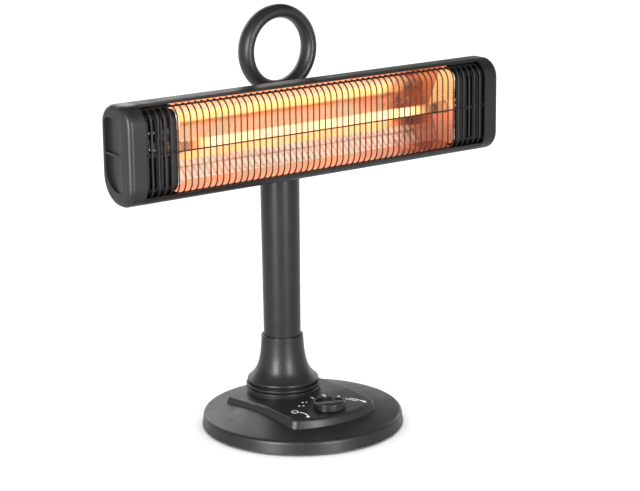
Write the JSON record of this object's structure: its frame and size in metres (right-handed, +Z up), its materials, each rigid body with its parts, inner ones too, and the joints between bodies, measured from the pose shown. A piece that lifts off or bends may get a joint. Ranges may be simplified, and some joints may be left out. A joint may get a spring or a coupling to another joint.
{
  "type": "quartz heater",
  "caption": "Free-standing quartz heater: long tilting head with reflector and wire guard on a swivelling column with a carrying ring and a round weighted base with a control knob.",
  "frame": {"origin": "centre of the round base on the surface it stands on", "axes": "+X along the head, -Y towards the heated side, +Z up"},
  "size_m": [0.562, 0.26, 0.5387],
  "materials": {
    "charcoal_plastic": "fine textured moulded plastic",
    "painted_steel": "satin charcoal powder coat",
    "guard_wire": "satin black coated wire",
    "galvanised_steel": "zinc plated sheet",
    "cast_weight": "raw casting",
    "foot_rubber": "matt black rubber",
    "screw_steel": "zinc plated",
    "bearing_nylon": "natural nylon",
    "switch_plastic": "black switch housing",
    "spring_steel": "bright wire",
    "motor_can": "plated can",
    "lead_silicone": "silicone sleeved lead",
    "polished_aluminium": "polished mirror sheet",
    "quartz": "clear quartz",
    "glowing_coil": "resistance coil, glowing",
    "end_ceramic": "unglazed ceramic"
  },
  "bodies": {
    "base": {"base_cover": "charcoal_plastic", "base_plate": "galvanised_steel", "counterweight": "cast_weight", "rubber_feet": "foot_rubber", "base_screws": "screw_steel", "thrust_washer": "bearing_nylon", "swivel_bush": "bearing_nylon", "rotary_switch": "switch_plastic", "switch_nut": "galvanised_steel", "tip_over_switch": "switch_plastic", "plunger_spring": "spring_steel", "oscillation_motor": "motor_can", "cord_inlet": "foot_rubber", "terminal_block": "switch_plastic", "base_wiring": "lead_silicone"},
    "knob": {"control_knob": "charcoal_plastic", "switch_shaft": "screw_steel"},
    "plunger": {"tip_over_plunger": "bearing_nylon"},
    "pinion": {"drive_pinion": "bearing_nylon", "motor_shaft": "screw_steel"},
    "column": {"swivel_gear": "bearing_nylon", "swivel_nut": "galvanised_steel", "swivel_spindle": "screw_steel", "swivel_ring": "charcoal_plastic", "column_flare": "charcoal_plastic", "column_tube": "painted_steel", "ring_handle": "charcoal_plastic", "tilt_bracket": "painted_steel", "bracket_screws": "screw_steel", "tilt_pins": "screw_steel", "friction_washers": "bearing_nylon", "column_wiring": "lead_silicone"},
    "head": {"head_housing": "painted_steel", "left_end_cap": "charcoal_plastic", "right_end_cap": "charcoal_plastic", "end_cap_screws": "screw_steel", "left_louvre": "painted_steel", "right_louvre": "painted_steel", "wire_guard": "guard_wire", "reflector": "polished_aluminium", "left_reflector_end": "polished_aluminium", "right_reflector_end": "polished_aluminium", "quartz_tube": "quartz", "heating_filament": "glowing_coil", "left_ceramic_end": "end_ceramic", "right_ceramic_end": "end_ceramic", "left_tube_bracket": "galvanised_steel", "right_tube_bracket": "galvanised_steel", "left_lead": "lead_silicone", "right_lead": "lead_silicone", "lead_joint": "switch_plastic", "tilt_lead": "lead_silicone", "thermal_cutout": "motor_can", "left_tilt_lug": "painted_steel", "right_tilt_lug": "painted_steel", "lug_screws": "screw_steel"}
  },
  "joints": [
    {"name": "knob_turn", "type": "hinge", "parent": "base", "child": "knob", "pos_m": [0, -0.058, 0.04], "axis": [0, 0, 1], "range_deg": [-120, 120]},
    {"name": "plunger_slide", "type": "slide", "parent": "base", "child": "plunger", "axis": [0, 0, 1], "range_m": [-0.0038, 0], "stiffness_N_per_m": 150, "springref_m": -0.006, "deforming": ["plunger_spring"]},
    {"name": "column_swivel", "type": "hinge", "parent": "base", "child": "column", "pos_m": [0, 0.043, 0], "axis": [0, 0, 1], "range_deg": [-35, 35]},
    {"name": "pinion_turn", "type": "hinge", "parent": "base", "child": "pinion", "pos_m": [0.03265, 0.043, 0.02], "axis": [0, 0, 1], "range_deg": [-118, 118]},
    {"name": "head_tilt", "type": "hinge", "parent": "column", "child": "head", "pos_m": [0, 0.0122, 0.3925], "axis": [-1, 0, 0], "range_deg": [-15, 12]}
  ],
  "couplings": [
    {"joint": "pinion_turn", "follows": "column_swivel", "ratio": -3.3333}
  ]
}
